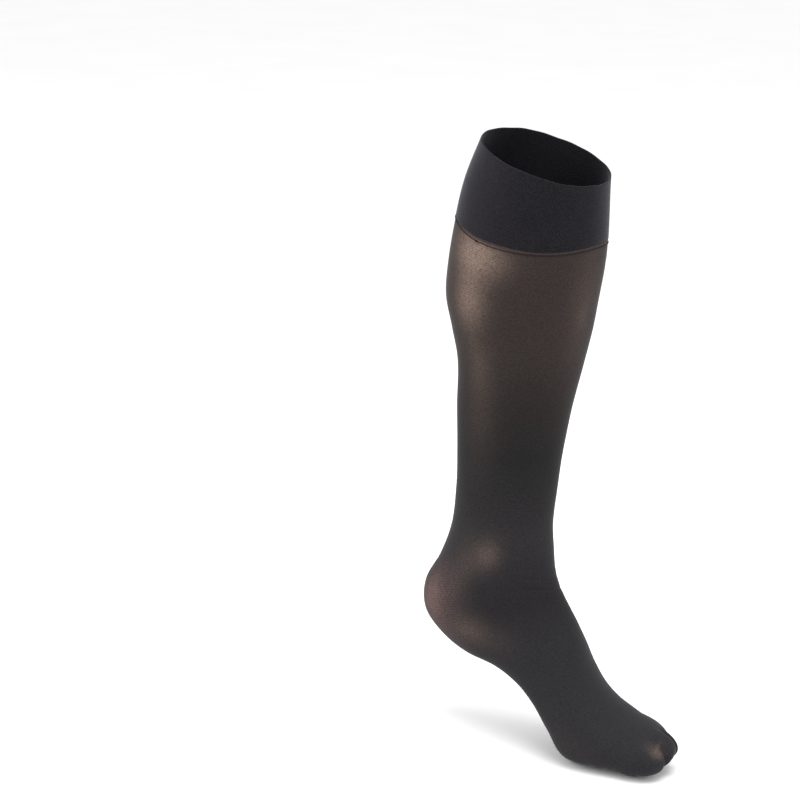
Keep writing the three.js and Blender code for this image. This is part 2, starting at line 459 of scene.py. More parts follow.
@dataclass
class Cloth:
    """The form with its folds and toes, and the slanting edge where the band meets the leg."""

    form: StockingForm = field(default_factory=StockingForm)
    folds: Folds = field(default_factory=Folds)
    toes: Toes = field(default_factory=Toes)
    band_height: float = 61.5
    front_rise: float = 9.0
    back_rise: float = 4.0
    rise_fade: float = 70.0

    def risen(self, station: np.ndarray, angle: np.ndarray) -> np.ndarray:
        """Where a row that is level at the sides lies, near the band's slanting edge.

        The edge rises by the cube of the cosine at the front and its square at the back. The
        rise grows evenly down the band and fades evenly over the leg below it.

        Args:
            station: The row's stations at the sides.
            angle: The angles in degrees.

        Returns:
            The stations on the form.
        """
        cosine = np.cos(np.radians(angle))
        front = self.front_rise * np.maximum(cosine, 0) ** 3
        rise = front + self.back_rise * np.maximum(-cosine, 0) ** 2
        fading = 1 - (station - self.band_height) / self.rise_fade
        share = np.minimum(station / self.band_height, fading)
        return station - rise * np.maximum(share, 0)

    def surface(self, station: np.ndarray, angle: np.ndarray, proud: np.ndarray) -> np.ndarray:
        """The cloth's surface: the form's point, moved out by proud less the folds, and ahead.

        Args:
            station: The stations at the sides.
            angle: The angles in degrees.
            proud: How far out from the form, in millimetres.

        Returns:
            Points in millimetres, with x, y and z on the last axis.
        """
        station, angle = np.broadcast_arrays(np.asarray(station, float), np.asarray(angle, float))
        at = self.risen(station, angle)
        lift = proud - self.folds.depth(self.form, at, angle) + self.toes.lift(self.form, at, angle)
        point = self.form.base(at, angle) + self.form.normal(at, angle) * lift[..., None]
        return point + self.toes.ahead(self.form, at, angle)


@dataclass
class Grid:
    """Rows and columns of points that make one closed surface.

    The columns always run round. The rows close on themselves, or end in a pole at each end.
    """

    points: np.ndarray
    round_share: np.ndarray
    down: np.ndarray
    poles: tuple[np.ndarray, np.ndarray] | None = None
    values: dict[str, np.ndarray] = field(default_factory=dict)

    def faces(self) -> tuple[np.ndarray, np.ndarray]:
        """The corners of the four-sided faces, and of the three-sided ones at the poles.

        Returns:
            Two integer arrays, of four and of three columns. A corner's number past the last
            column is that of the first.
        """
        rows, columns = self.points.shape[:2]
        last = rows if self.poles is None else rows - 1
        row, column = np.meshgrid(np.arange(last), np.arange(columns), indexing="ij")
        below, beside = (row + 1) % rows, (column + 1) % columns
        quads = np.stack(
            [
                row * columns + column,
                below * columns + column,
                below * columns + beside,
                row * columns + beside,
            ],
            axis=-1,
        ).reshape(-1, 4)
        if self.poles is None:
            return quads, np.zeros((0, 3), int)
        ring = np.arange(columns)
        beyond = (ring + 1) % columns
        count = rows * columns
        top = np.stack([np.full(columns, count), ring, beyond], axis=-1)
        end = (rows - 1) * columns
        bottom = np.stack([np.full(columns, count + 1), end + beyond, end + ring], axis=-1)
        return quads, np.concatenate([top, bottom])

    def corner_places(self) -> np.ndarray:
        """Each face corner's place on the flat cloth: the way round and the way down, in mm.

        Returns:
            Two columns, a row for each corner, with the seam column at its full width.
        """
        rows, columns = self.points.shape[:2]
        last = rows if self.poles is None else rows - 1
        row, column = np.meshgrid(np.arange(last), np.arange(columns), indexing="ij")
        below = (row + 1) % rows
        width = np.append(self.round_share, 2 * self.round_share[-1] - self.round_share[-2])
        first = np.stack([width[column], self.down[row]], axis=-1)
        second = np.stack([width[column], self.down[below]], axis=-1)
        third = np.stack([width[column + 1], self.down[below]], axis=-1)
        fourth = np.stack([width[column + 1], self.down[row]], axis=-1)
        quads = np.stack([first, second, third, fourth], axis=2).reshape(-1, 2)
        if self.poles is None:
            return quads
        ring = np.arange(columns)
        left, right = width[ring], width[ring + 1]
        middle = (left + right) / 2
        high, low = np.full(columns, self.down[0]), np.full(columns, self.down[-1])
        top = np.stack([middle, high, left, high, right, high], axis=-1).reshape(-1, 2)
        bottom = np.stack([middle, low, right, low, left, low], axis=-1).reshape(-1, 2)
        return np.concatenate([quads, top, bottom])


def enclosed_volume(points: np.ndarray, quads: np.ndarray, triangles: np.ndarray) -> float:
    """The volume that a surface holds, positive where its faces point outwards.

    Each face adds a sixth of the triple product of its corners.

    Args:
        points: The vertices.
        quads: Four-sided faces.
        triangles: Three-sided faces.

    Returns:
        The signed volume.
    """
    every = np.concatenate([quads[:, [0, 1, 2]], quads[:, [0, 2, 3]], triangles])
    a, b, c = points[every[:, 0]], points[every[:, 1]], points[every[:, 2]]
    return float(np.einsum("ij,ij->i", a, np.cross(b, c)).sum() / 6)


def mesh_piece(name: str, grids: list[Grid], material: bpy.types.Material) -> bpy.types.Object:
    """Makes one object of one or more closed grids, with smooth faces that point outwards.

    Args:
        name: The piece's name.
        grids: The closed surfaces, in millimetres.
        material: What it is made of.

    Returns:
        The object, at the origin, with its place in its mesh.
    """
    points, corners, sizes, places = [], [], [], []
    values: dict[str, list[np.ndarray]] = {key: [] for key in grids[0].values}
    start = 0
    for grid in grids:
        mine = grid.points.reshape(-1, 3)
        if grid.poles is not None:
            mine = np.concatenate([mine, np.array(grid.poles)])
        quads, triangles = grid.faces()
        flat = grid.corner_places()
        if enclosed_volume(mine, quads, triangles) < 0:
            split = len(quads) * 4
            turned = flat[:split].reshape(-1, 4, 2)[:, ::-1].reshape(-1, 2)
            ends = flat[split:].reshape(-1, 3, 2)[:, ::-1].reshape(-1, 2)
            flat = np.concatenate([turned, ends])
            quads, triangles = quads[:, ::-1], triangles[:, ::-1]
        points.append(mine)
        corners.append(np.concatenate([quads.ravel(), triangles.ravel()]) + start)
        sizes.append(np.concatenate([np.full(len(quads), 4), np.full(len(triangles), 3)]))
        places.append(flat)
        for key, list_of in values.items():
            value = grid.values[key].ravel()
            if grid.poles is not None:
                value = np.append(value, [grid.values[key][0, 0], grid.values[key][-1, 0]])
            list_of.append(value)
        start += len(mine)
    every, loops = np.concatenate(points) * MM, np.concatenate(corners)
    counts = np.concatenate(sizes)
    mesh = bpy.data.meshes.new(name)
    mesh.vertices.add(len(every))
    mesh.vertices.foreach_set("co", every.astype(np.float32).ravel())
    mesh.loops.add(len(loops))
    mesh.loops.foreach_set("vertex_index", loops.astype(np.int32))
    mesh.polygons.add(len(counts))
    starts = np.concatenate([[0], np.cumsum(counts)[:-1]])
    mesh.polygons.foreach_set("loop_start", starts.astype(np.int32))
    mesh.update(calc_edges=True)
    mesh.polygons.foreach_set("use_smooth", np.ones(len(counts), bool))
    layer = mesh.uv_layers.new(name="flat_cloth")
    layer.data.foreach_set("uv", (np.concatenate(places) * MM).astype(np.float32).ravel())
    for key, parts in values.items():
        attribute = mesh.attributes.new(key, "FLOAT", "POINT")
        attribute.data.foreach_set("value", np.concatenate(parts).astype(np.float32))
    mesh.materials.append(material)
    mesh.validate()
    piece = bpy.data.objects.new(name, mesh)
    bpy.context.scene.collection.objects.link(piece)
    return piece


def thread_grid(path: np.ndarray, radius: np.ndarray, sides: int, closed: bool) -> Grid:
    """A round thread along a path.

    At each point of the path lies a circle of that point's radius, in the plane square to the
    path. Its first axis is square to a fixed slanted direction, so that it doesn't spin.

    Args:
        path: Points down the middle, in millimetres.
        radius: The radius at each point.
        sides: How many points a circle has.
        closed: Whether the path runs back into its start.

    Returns:
        The grid, with a pole at each end of an open thread.
    """
    if closed:
        ahead = np.roll(path, -1, axis=0) - np.roll(path, 1, axis=0)
    else:
        ahead = np.gradient(path, axis=0)
    ahead = ahead / np.linalg.norm(ahead, axis=1, keepdims=True)
    slant = np.array([0.31, 0.17, 0.94])
    first = np.cross(ahead, slant)
    first = first / np.linalg.norm(first, axis=1, keepdims=True)
    second = np.cross(ahead, first)
    turn = np.arange(sides) / sides * 2 * np.pi
    ring = (
        first[:, None] * np.cos(turn)[None, :, None] + second[:, None] * np.sin(turn)[None, :, None]
    )
    points = path[:, None] + ring * radius[:, None, None]
    steps = np.linalg.norm(np.diff(path, axis=0), axis=1)
    down = np.concatenate([[0.0], np.cumsum(steps)])
    share = np.arange(sides) / sides * 2 * np.pi * float(radius.mean())
    ends = None if closed else (path[0] - ahead[0] * radius[0], path[-1] + ahead[-1] * radius[-1])
    return Grid(points, share, down, ends)


@dataclass(frozen=True)
class BandKnit:
    """Nylon over covered elastane, knitted as a doubled welt: dense, matt and near black.

    The eye sees no gaps, fine broken lines slanting down towards the toes' side, and a bloom of
    short fibres towards the edges. Sizes are in millimetres. The slope is how much steeper the
    lines run down than round, and break_turn how far the breaks turn a line's wave.
    """

    name: str = "nylon_elastane_welt_knit"
    yarn: str = "#201e23"
    between_lines: str = "#020202"
    fibre_bloom: str = "#8a8890"
    line_pitch: float = 3.45
    line_slope: float = 1.5
    break_size: float = 5.0
    break_turn: float = 9.0
    grain: float = 0.9
    grain_share: float = 0.66
    cloud_size: float = 14.0
    cloud_share: float = 0.25
    # How much paler the painted highlight draws the sides where the light falls.
    painted_highlight_share: float = 0.3

    def make(self) -> bpy.types.Material:
        """Builds the material: slanting lines and a grain give its colour and its height."""
        material = empty_material(self.name)
        tree = material.node_tree
        place = add_node(tree, "ShaderNodeUVMap", uv_map="flat_cloth")
        parts = add_node(tree, "ShaderNodeSeparateXYZ", {0: place.outputs[0]})
        slant = add_node(
            tree,
            "ShaderNodeMath",
            {0: parts.outputs["Y"], 1: -self.line_slope, 2: parts.outputs["X"]},
            operation="MULTIPLY_ADD",
        )
        # A real course is about 0.4 mm, too fine to show, so a line stands for six of them.
        phase = add_node(
            tree,
            "ShaderNodeMath",
            {0: slant.outputs[0], 1: 2 * math.pi / (self.line_pitch * MM)},
            operation="MULTIPLY",
        )
        spot = add_node(tree, "ShaderNodeTexCoord")
        breaks = add_node(
            tree,
            "ShaderNodeTexNoise",
            {"Vector": spot.outputs["Object"], "Scale": 1 / (self.break_size * MM), "Detail": 1.0},
        )
        broken = add_node(
            tree,
            "ShaderNodeMath",
            {0: breaks.outputs[0], 1: self.break_turn, 2: phase.outputs[0]},
            operation="MULTIPLY_ADD",
        )
        wave = add_node(tree, "ShaderNodeMath", {0: broken.outputs[0]}, operation="SINE")
        grain = add_node(
            tree,
            "ShaderNodeTexNoise",
            {"Vector": spot.outputs["Object"], "Scale": 1 / (self.grain * MM), "Detail": 3.0},
        )
        cloudy = add_node(
            tree,
            "ShaderNodeTexNoise",
            {"Vector": spot.outputs["Object"], "Scale": 1 / (self.cloud_size * MM), "Detail": 2.0},
        )
        rows = add_node(
            tree,
            "ShaderNodeMapRange",
            {"Value": wave.outputs[0], 1: -1.0, 2: 1.0, 3: 0.0, 4: 1.0},
        )
        fibres = add_node(
            tree,
            "ShaderNodeMapRange",
            {"Value": grain.outputs[0], 1: 0.4, 2: 0.6, 3: 0.0, 4: 1.0},
        )
        share = add_node(
            tree,
            "ShaderNodeMix",
            {0: self.grain_share, 2: rows.outputs[0], 3: fibres.outputs[0]},
            data_type="FLOAT",
        )
        soft = add_node(
            tree,
            "ShaderNodeMix",
            {0: self.cloud_share, 2: share.outputs[0], 3: cloudy.outputs[0]},
            data_type="FLOAT",
        )
        # Painted highlight: the band's sides where the light falls are drawn paler.
        pale = add_node(tree, "ShaderNodeAttribute", attribute_name="pale")
        with_painted_highlight = add_node(
            tree,
            "ShaderNodeMath",
            {0: pale.outputs["Fac"], 1: self.painted_highlight_share, 2: soft.outputs[0]},
            operation="MULTIPLY_ADD",
        )
        colour = add_node(
            tree,
            "ShaderNodeMix",
            {0: with_painted_highlight.outputs[0], 6: linear(self.between_lines), 7: linear(self.yarn)},
            data_type="RGBA",
        )
        bump = add_node(
            tree,
            "ShaderNodeBump",
            {"Strength": 0.5, "Distance": 0.12 * MM, "Height": share.outputs[0]},
        )
        shader = add_node(
            tree,
            "ShaderNodeBsdfPrincipled",
            {
                "Base Color": colour.outputs[2],
                "Normal": bump.outputs[0],
                "Roughness": 0.85,
                "Specular IOR Level": 0.12,
                "Sheen Weight": 0.55,
                "Sheen Roughness": 0.36,
                "Sheen Tint": linear(self.fibre_bloom),
            },
        )
        add_node(tree, "ShaderNodeOutputMaterial", {"Surface": shader.outputs[0]})
        return material


@dataclass(frozen=True)
class SheerKnit:
    """Fine nylon and elastane plain knit, sheer on the calf and heavier on the foot.

    The eye sees a charcoal film with a warm cast where it is stretched thin, at the calf, the
    ankle bone, the heel and the big toe, where a painted highlight also lies, a mottled grain of
    uneven loops, and a soft sheen towards its edges. Two layers of the film already hide what is
    behind them, so it is drawn closed, with the cast of what shows through as its colour.
    """

    name: str = "sheer_nylon_plain_knit"
    yarn_down_leg: tuple[tuple[float, str], ...] = (
        (150.0, "#292220"),
        (200.0, "#1d1918"),
        (240.0, "#171617"),
        (310.0, "#222022"),
        (376.0, "#1a181b"),
        (430.0, "#1f1e21"),
        (530.0, "#212023"),
    )
    # Warm casts of thin places, made light as a painted highlight where the light falls.
    thin_cast_and_highlight: str = "#6f5e55"
    heel_cast_and_highlight: str = "#614d4a"
    join_strip: str = "#362d2e"
    fibre_bloom: str = "#a5a3a8"
    grain: float = 1.35
    course: float = 1.9
    course_wander: float = 7.0
    course_share: float = 0.3
    mottle: float = 0.45
    mottle_when_thin: float = 1.3
    length: float = 580.0

    def fill_ramp(self, ramp: bpy.types.ColorRamp) -> None:
        """Sets the yarn's colours down the leg.

        Args:
            ramp: The ramp, whose places are the cloth's down value.
        """
        while len(ramp.elements) < len(self.yarn_down_leg):
            ramp.elements.new(1.0)
        for element, (station, colour) in zip(ramp.elements, self.yarn_down_leg):
            element.position = station / self.length
            element.color = linear(colour)

    def make(self) -> bpy.types.Material:
        """Builds the material from the cloth's own values: thin, which also carries a painted
        highlight, warm, down and strip.
        """
        material = empty_material(self.name)
        tree = material.node_tree
        thin = add_node(tree, "ShaderNodeAttribute", attribute_name="thin")
        warm = add_node(tree, "ShaderNodeAttribute", attribute_name="warm")
        down = add_node(tree, "ShaderNodeAttribute", attribute_name="down")
        strip = add_node(tree, "ShaderNodeAttribute", attribute_name="strip")
        spot = add_node(tree, "ShaderNodeTexCoord")
        grain = add_node(
            tree,
            "ShaderNodeTexNoise",
            {
                "Vector": spot.outputs["Object"],
                "Scale": 1 / (self.grain * MM),
                "Detail": 3.0,
                "Roughness": 0.6,
            },
        )
        place = add_node(tree, "ShaderNodeUVMap", uv_map="flat_cloth")
        along = add_node(tree, "ShaderNodeSeparateXYZ", {0: place.outputs[0]})
        # Real courses are 0.35 mm apart, too fine to show, so one is drawn for every five.
        count = add_node(
            tree,
            "ShaderNodeMath",
            {0: along.outputs["Y"], 1: 2 * math.pi / (self.course * MM)},
            operation="MULTIPLY",
        )
        uneven = add_node(
            tree,
            "ShaderNodeMath",
            {0: grain.outputs[0], 1: self.course_wander, 2: count.outputs[0]},
            operation="MULTIPLY_ADD",
        )
        wave = add_node(tree, "ShaderNodeMath", {0: uneven.outputs[0]}, operation="SINE")
        courses = add_node(
            tree,
            "ShaderNodeMapRange",
            {"Value": wave.outputs[0], 1: -1.0, 2: 1.0, 3: 0.35, 4: 0.65},
        )
        loops = add_node(
            tree,
            "ShaderNodeMix",
            {0: self.course_share, 2: grain.outputs[0], 3: courses.outputs[0]},
            data_type="FLOAT",
        )
        yarn = add_node(tree, "ShaderNodeValToRGB", {0: down.outputs["Fac"]})
        self.fill_ramp(yarn.color_ramp)
        # Thin places take the warm cast, which is partly a painted highlight where the light falls.
        cast = add_node(
            tree,
            "ShaderNodeMix",
            {0: warm.outputs["Fac"], 6: linear(self.thin_cast_and_highlight), 7: linear(self.heel_cast_and_highlight)},
            data_type="RGBA",
        )
        tinted_and_highlighted = add_node(
            tree,
            "ShaderNodeMix",
            {0: thin.outputs["Fac"], 6: yarn.outputs[0], 7: cast.outputs[2]},
            data_type="RGBA",
        )
        joined = add_node(
            tree,
            "ShaderNodeMix",
            {0: strip.outputs["Fac"], 6: tinted_and_highlighted.outputs[2], 7: linear(self.join_strip)},
            data_type="RGBA",
        )
        shade = add_node(
            tree,
            "ShaderNodeMapRange",
            {"Value": loops.outputs[0], 1: 0.3, 2: 0.7, 3: 1 - self.mottle, 4: 1 + self.mottle},
        )
        # Between the loops of a thin place more shows through, so its grain is stronger.
        stronger = add_node(
            tree,
            "ShaderNodeMapRange",
            {"Value": thin.outputs["Fac"], 1: 0.0, 2: 1.0, 3: 1.0, 4: self.mottle_when_thin},
        )
        mottle = add_node(
            tree,
            "ShaderNodeMath",
            {0: shade.outputs[0], 1: stronger.outputs[0]},
            operation="POWER",
        )
        mottled = add_node(
            tree,
            "ShaderNodeVectorMath",
            {0: joined.outputs[2], 3: mottle.outputs[0]},
            operation="SCALE",
        )
        bump = add_node(
            tree,
            "ShaderNodeBump",
            {"Strength": 0.35, "Distance": 0.1 * MM, "Height": loops.outputs[0]},
        )
        shader = add_node(
            tree,
            "ShaderNodeBsdfPrincipled",
            {
                "Base Color": mottled.outputs[0],
                "Normal": bump.outputs[0],
                "Roughness": 0.8,
                "Specular IOR Level": 0.16,
                "Sheen Weight": 0.2,
                "Sheen Roughness": 0.32,
                "Sheen Tint": linear(self.fibre_bloom),
            },
        )
        add_node(tree, "ShaderNodeOutputMaterial", {"Surface": shader.outputs[0]})
        return material


@dataclass(frozen=True)
class SewingThread:
    """Twisted polyester thread, dark brown and matt, with a twist that just shows.

    The dark brown is partly painted shade: the shadow along the linking line.
    """

    name: str = "dark_thread_and_painted_shade"
    # Kept dark partly as painted shade of the linking line's shadow.
    light: str = "#241c1c"
    dark: str = "#151011"
    twist: float = 1.1

    def make(self) -> bpy.types.Material:
        """Builds the material: bands aslant along the thread are the turns of its twist."""
        material = empty_material(self.name)
        tree = material.node_tree
        place = add_node(tree, "ShaderNodeUVMap", uv_map="flat_cloth")
        # A real turn of the twist is about 0.5 mm, drawn twice as long to show.
        bands = add_node(
            tree,
            "ShaderNodeTexWave",
            {"Vector": place.outputs[0], "Scale": 1 / (self.twist * MM) / 3, "Distortion": 0.6},
            bands_direction="DIAGONAL",
        )
        colour = add_node(
            tree,
            "ShaderNodeMix",
            {0: bands.outputs["Fac"], 6: linear(self.dark), 7: linear(self.light)},
            data_type="RGBA",
        )
        bump = add_node(
            tree,
            "ShaderNodeBump",
            {"Strength": 0.4, "Distance": 0.1 * MM, "Height": bands.outputs["Fac"]},
        )
        shader = add_node(
            tree,
            "ShaderNodeBsdfPrincipled",
            {
                "Base Color": colour.outputs[2],
                "Normal": bump.outputs[0],
                "Roughness": 0.7,
                "Specular IOR Level": 0.12,
            },
        )
        add_node(tree, "ShaderNodeOutputMaterial", {"Surface": shader.outputs[0]})
        return material


@dataclass(frozen=True)
class PaleFloor:
    """Matt white painted board, almost even, with a trace of uneven paint."""

    name: str = "matt_white_board"
    light: str = "#fbfbfb"
    dark: str = "#f6f6f6"

    def make(self) -> bpy.types.Material:
        """Builds the material: slow noise between two near whites."""
        material = empty_material(self.name)
        tree = material.node_tree
        spot = add_node(tree, "ShaderNodeTexCoord")
        patches = add_node(
            tree, "ShaderNodeTexNoise", {"Vector": spot.outputs["Object"], "Scale": 6.0}
        )
        colour = add_node(
            tree,
            "ShaderNodeMix",
            {0: patches.outputs[0], 6: linear(self.dark), 7: linear(self.light)},
            data_type="RGBA",
        )
        shader = add_node(
            tree,
            "ShaderNodeBsdfPrincipled",
            {"Base Color": colour.outputs[2], "Roughness": 0.9, "Specular IOR Level": 0.1},
        )
        add_node(tree, "ShaderNodeOutputMaterial", {"Surface": shader.outputs[0]})
        return material


@dataclass
class TopBand:
    """The doubled elastic welt that grips under the knee, rounded over at both edges.

    Its girth holds a whole number of lines, so that they meet all round. Its pale sides are a
    painted highlight where the light falls, bells with a middle and a half width in degrees. The
    rim waves slightly, which dies away as a bell down the band.
    """

    cloth: Cloth
    proud: float = 0.3
    thickness: float = 1.3
    girth_lines: int = 100
    columns: int = 288
    rows: int = 46
    edge_rows: int = 7
    relaxed_girth: float = 264.0
    painted_highlight_sides: tuple[tuple[float, float], ...] = ((248, 26), (112, 26))
    rim_wave: float = 0.22
    rim_wave_reach: float = 5.0

    def profile(self) -> tuple[np.ndarray, np.ndarray]:
        """The closed outline of the cut cloth: down outside, round the edge, and back inside.

        The two edges are half circles of the cloth's thickness.

        Returns:
            Stations and the way out from the form, both in millimetres.
        """
        half = self.thickness / 2
        middle = self.proud - half
        foot = self.cloth.band_height
        down = np.linspace(half, foot - half, self.rows)
        turn = np.linspace(0, np.pi, self.edge_rows + 2)[1:-1]
        station = np.concatenate(
            [down, foot - half + half * np.sin(turn), down[::-1], half - half * np.sin(turn)]
        )
        out = np.concatenate(
            [
                np.full(self.rows, middle + half),
                middle + half * np.cos(turn),
                np.full(self.rows, middle - half),
                middle - half * np.cos(turn),
            ]
        )
        return station, out

    def build(self, finish: BandKnit) -> bpy.types.Object:
        """Makes the band and dresses it.

        Args:
            finish: Its knit.

        Returns:
            The piece.
        """
        station, out = self.profile()
        angle = np.arange(self.columns) / self.columns * 360 - 180
        turn = np.radians(angle)[None, :]
        near_rim = bell(station, self.rim_wave_reach)[:, None]
        waves = np.sin(7 * turn + 0.5) + 0.6 * np.sin(16 * turn + 2.1)
        uneven = self.rim_wave * waves * near_rim
        points = self.cloth.surface(station[:, None] + uneven, angle[None, :], out[:, None])
        share = np.arange(self.columns) / self.columns * self.girth_lines * finish.line_pitch
        # Painted highlight on the sides where the light falls.
        pale = np.zeros(points.shape[:2])
        for middle, wide in self.painted_highlight_sides:
            pale += bell(away_from(middle, angle), wide)[None, :]
        grid = Grid(points, share, station, values={"pale": pale})
        piece = mesh_piece("top_band_knit", [grid], finish.make())
        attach(piece, "root")
        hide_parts("top_band")
        return piece


@dataclass(frozen=True)
class ThinAndHighlightPatch:
    """A place where the stretched cloth is thinner and its warm cast shows, with a painted highlight.
    """

    station: float
    angle: float
    long: float
    wide: float
    strength: float
    warm: float = 0.0


@dataclass
class SheerLeg:
    """The leg and foot, one continuous knitted tube from the band to the closed toe.

    Each row span has the station where it ends and its number of rows. The foot's rows end the
    lead before the toe starts to close. The toe's crowd together towards the tip and leave a
    small rest to the pole.
    """

    cloth: Cloth
    start: float = 61.6
    thickness: float = 0.5
    columns: int = 180
    join_line: float = 2.5
    relaxed_girth: float = 262.0
    relaxed_area: float = 0.1020
    pattern_girth: float = 320.0
    row_spans: tuple[tuple[float, int], ...] = ((84, 20), (334, 70), (384, 58))
    foot_rows: int = 62
    toe_rows: int = 56
    toe_lead: float = 12.0
    toe_crowding: float = 1.7
    last_row: float = 0.985
    # Thin places, partly a real warm cast and partly a painted highlight where the light falls.
    patches: tuple[ThinAndHighlightPatch, ...] = (
        ThinAndHighlightPatch(74, 257, 16, 21, 1.1),
        ThinAndHighlightPatch(109, 255, 22, 14, 0.77),
        ThinAndHighlightPatch(162, 262, 25, 12.5, 0.17),
        ThinAndHighlightPatch(205, 262, 42, 18, 0.1),
        ThinAndHighlightPatch(105, 350, 50, 15, 0.12),
        ThinAndHighlightPatch(121, 353, 12, 7, 0.12, 0.9),
        ThinAndHighlightPatch(100, 104, 46, 22, 0.7),
        ThinAndHighlightPatch(150, 102, 46, 18, 0.26),
        ThinAndHighlightPatch(120, 200, 44, 20, 0.26),
        ThinAndHighlightPatch(323, 281, 11, 12, 0.2, 0.1),
        ThinAndHighlightPatch(326, 268, 17, 24, 0.16, 0.3),
        ThinAndHighlightPatch(332, 84, 13, 17, 0.28, 0.2),
        ThinAndHighlightPatch(360, 228, 21, 18, 0.78, 1.0),
        ThinAndHighlightPatch(352, 254, 22, 12, 0.14, 0.3),
        ThinAndHighlightPatch(362, 130, 20, 20, 0.65, 1.0),
        ThinAndHighlightPatch(366, 180, 18, 26, 0.45, 1.0),
        ThinAndHighlightPatch(386, 256, 12, 15, 0.24, 0.0),
        ThinAndHighlightPatch(391, 230, 13, 15, 0.12, 0.7),
        ThinAndHighlightPatch(403, 264, 16, 24, 0.08, 0.2),
        # A painted highlight and glint on the big toe.
        ThinAndHighlightPatch(562, 320, 5.5, 16, 0.38, 0.0),
        ThinAndHighlightPatch(560, 338, 1.8, 8, 0.2, 0.0),
        ThinAndHighlightPatch(554, 324, 7, 14, 0.1, 0.0),
        ThinAndHighlightPatch(500, 262, 22, 22, 0.05, 0.6),
    )

    def line_station(self, angle: np.ndarray) -> np.ndarray:
        """Where the linking line runs: a few millimetres under the band, unevenly so.

        It is the join line's middle way, plus a bell of extra width at the inner side, less a
        bell where it closes up behind that, plus slow waves.

        Args:
            angle: The angles in degrees.

        Returns:
            Stations in millimetres.
        """
        waves = 0.18 * np.sin(np.radians(3 * angle + 40)) + 0.1 * np.sin(np.radians(8 * angle))
        line = self.cloth.band_height + self.join_line + waves
        wider = 0.7 * bell(away_from(266, angle), 20)
        closer = 1.2 * bell(away_from(226, angle), 16)
        return line + wider - closer

    def stations(self) -> np.ndarray:
        """The rows down the leg, closer together at the ankle's creases and at the toes."""
        form = self.cloth.form
        toe = form.closed_end - self.toe_lead
        at = self.start + self.thickness / 2
        parts = [np.array([at])]
        for stop, rows in (*self.row_spans, (toe, self.foot_rows)):
            parts.append(np.linspace(at, stop, rows)[1:])
            at = stop
        onto = np.linspace(0, self.last_row, self.toe_rows)[1:]
        parts.append(toe + (form.tip - toe) * (1 - (1 - onto) ** self.toe_crowding))
        return np.concatenate(parts)

    def values(
        self, station: np.ndarray, angle: np.ndarray, length: float
    ) -> dict[str, np.ndarray]:
        """The cloth's own values: how thin, with its painted highlight, how warm, how far down, and
        the join strip.

        A thin patch, partly a painted highlight, is a bell in both directions. Warm is the patches'
        own warmth, weighed by how much each adds.

        Args:
            station: The stations.
            angle: The angles in degrees.
            length: The station that counts as all the way down.

        Returns:
            The values by name, each from 0 to 1.
        """
        station, angle = np.broadcast_arrays(station, angle)
        thin = np.zeros(station.shape)
        warm = np.zeros(station.shape)
        for patch in self.patches:
            off = away_from(patch.angle, angle)
            away = ((station - patch.station) / patch.long) ** 2 + (off / patch.wide) ** 2
            amount = patch.strength * np.exp(-away)
            thin += amount
            warm += amount * patch.warm
        warm = warm / np.maximum(thin, 1e-6)
        down = station / length
        line = self.line_station(angle)
        strip = np.clip((line - 0.5 - station) / 1.2, 0, 1)
        return {"thin": np.clip(thin, 0, 1), "warm": warm, "down": down, "strip": strip}

    def build(self, finish: SheerKnit) -> bpy.types.Object:
        """Makes the leg and foot and dresses them.

        Args:
            finish: Its knit.

        Returns:
            The piece.
        """
        down = self.stations()
        half = self.thickness / 2
        turn = np.linspace(np.pi, 0, 7)[1:-1]
        edge = self.start + half - half * np.sin(turn)
        station = np.concatenate([down[::-1], edge, down])
        out = np.concatenate(
            [
                np.full(len(down), -self.thickness),
                -half + half * np.cos(turn),
                np.zeros(len(down)),
            ]
        )
        angle = np.arange(self.columns) / self.columns * 360 - 180
        points = self.cloth.surface(station[:, None], angle[None, :], out[:, None])
        tip = np.array([self.cloth.form.tip])
        front = np.zeros(1)
        poles = (
            self.cloth.surface(tip, front, np.array([-self.thickness]))[0],
            self.cloth.surface(tip, front, front)[0],
        )
        share = np.arange(self.columns) / self.columns * self.pattern_girth
        values = self.values(station[:, None], angle[None, :], finish.length)
        grid = Grid(points, share, station, poles, values)
        piece = mesh_piece("sheer_leg_and_foot", [grid], finish.make())
        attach(piece, "root")
        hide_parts("leg", "foot", "forefoot")
        return piece


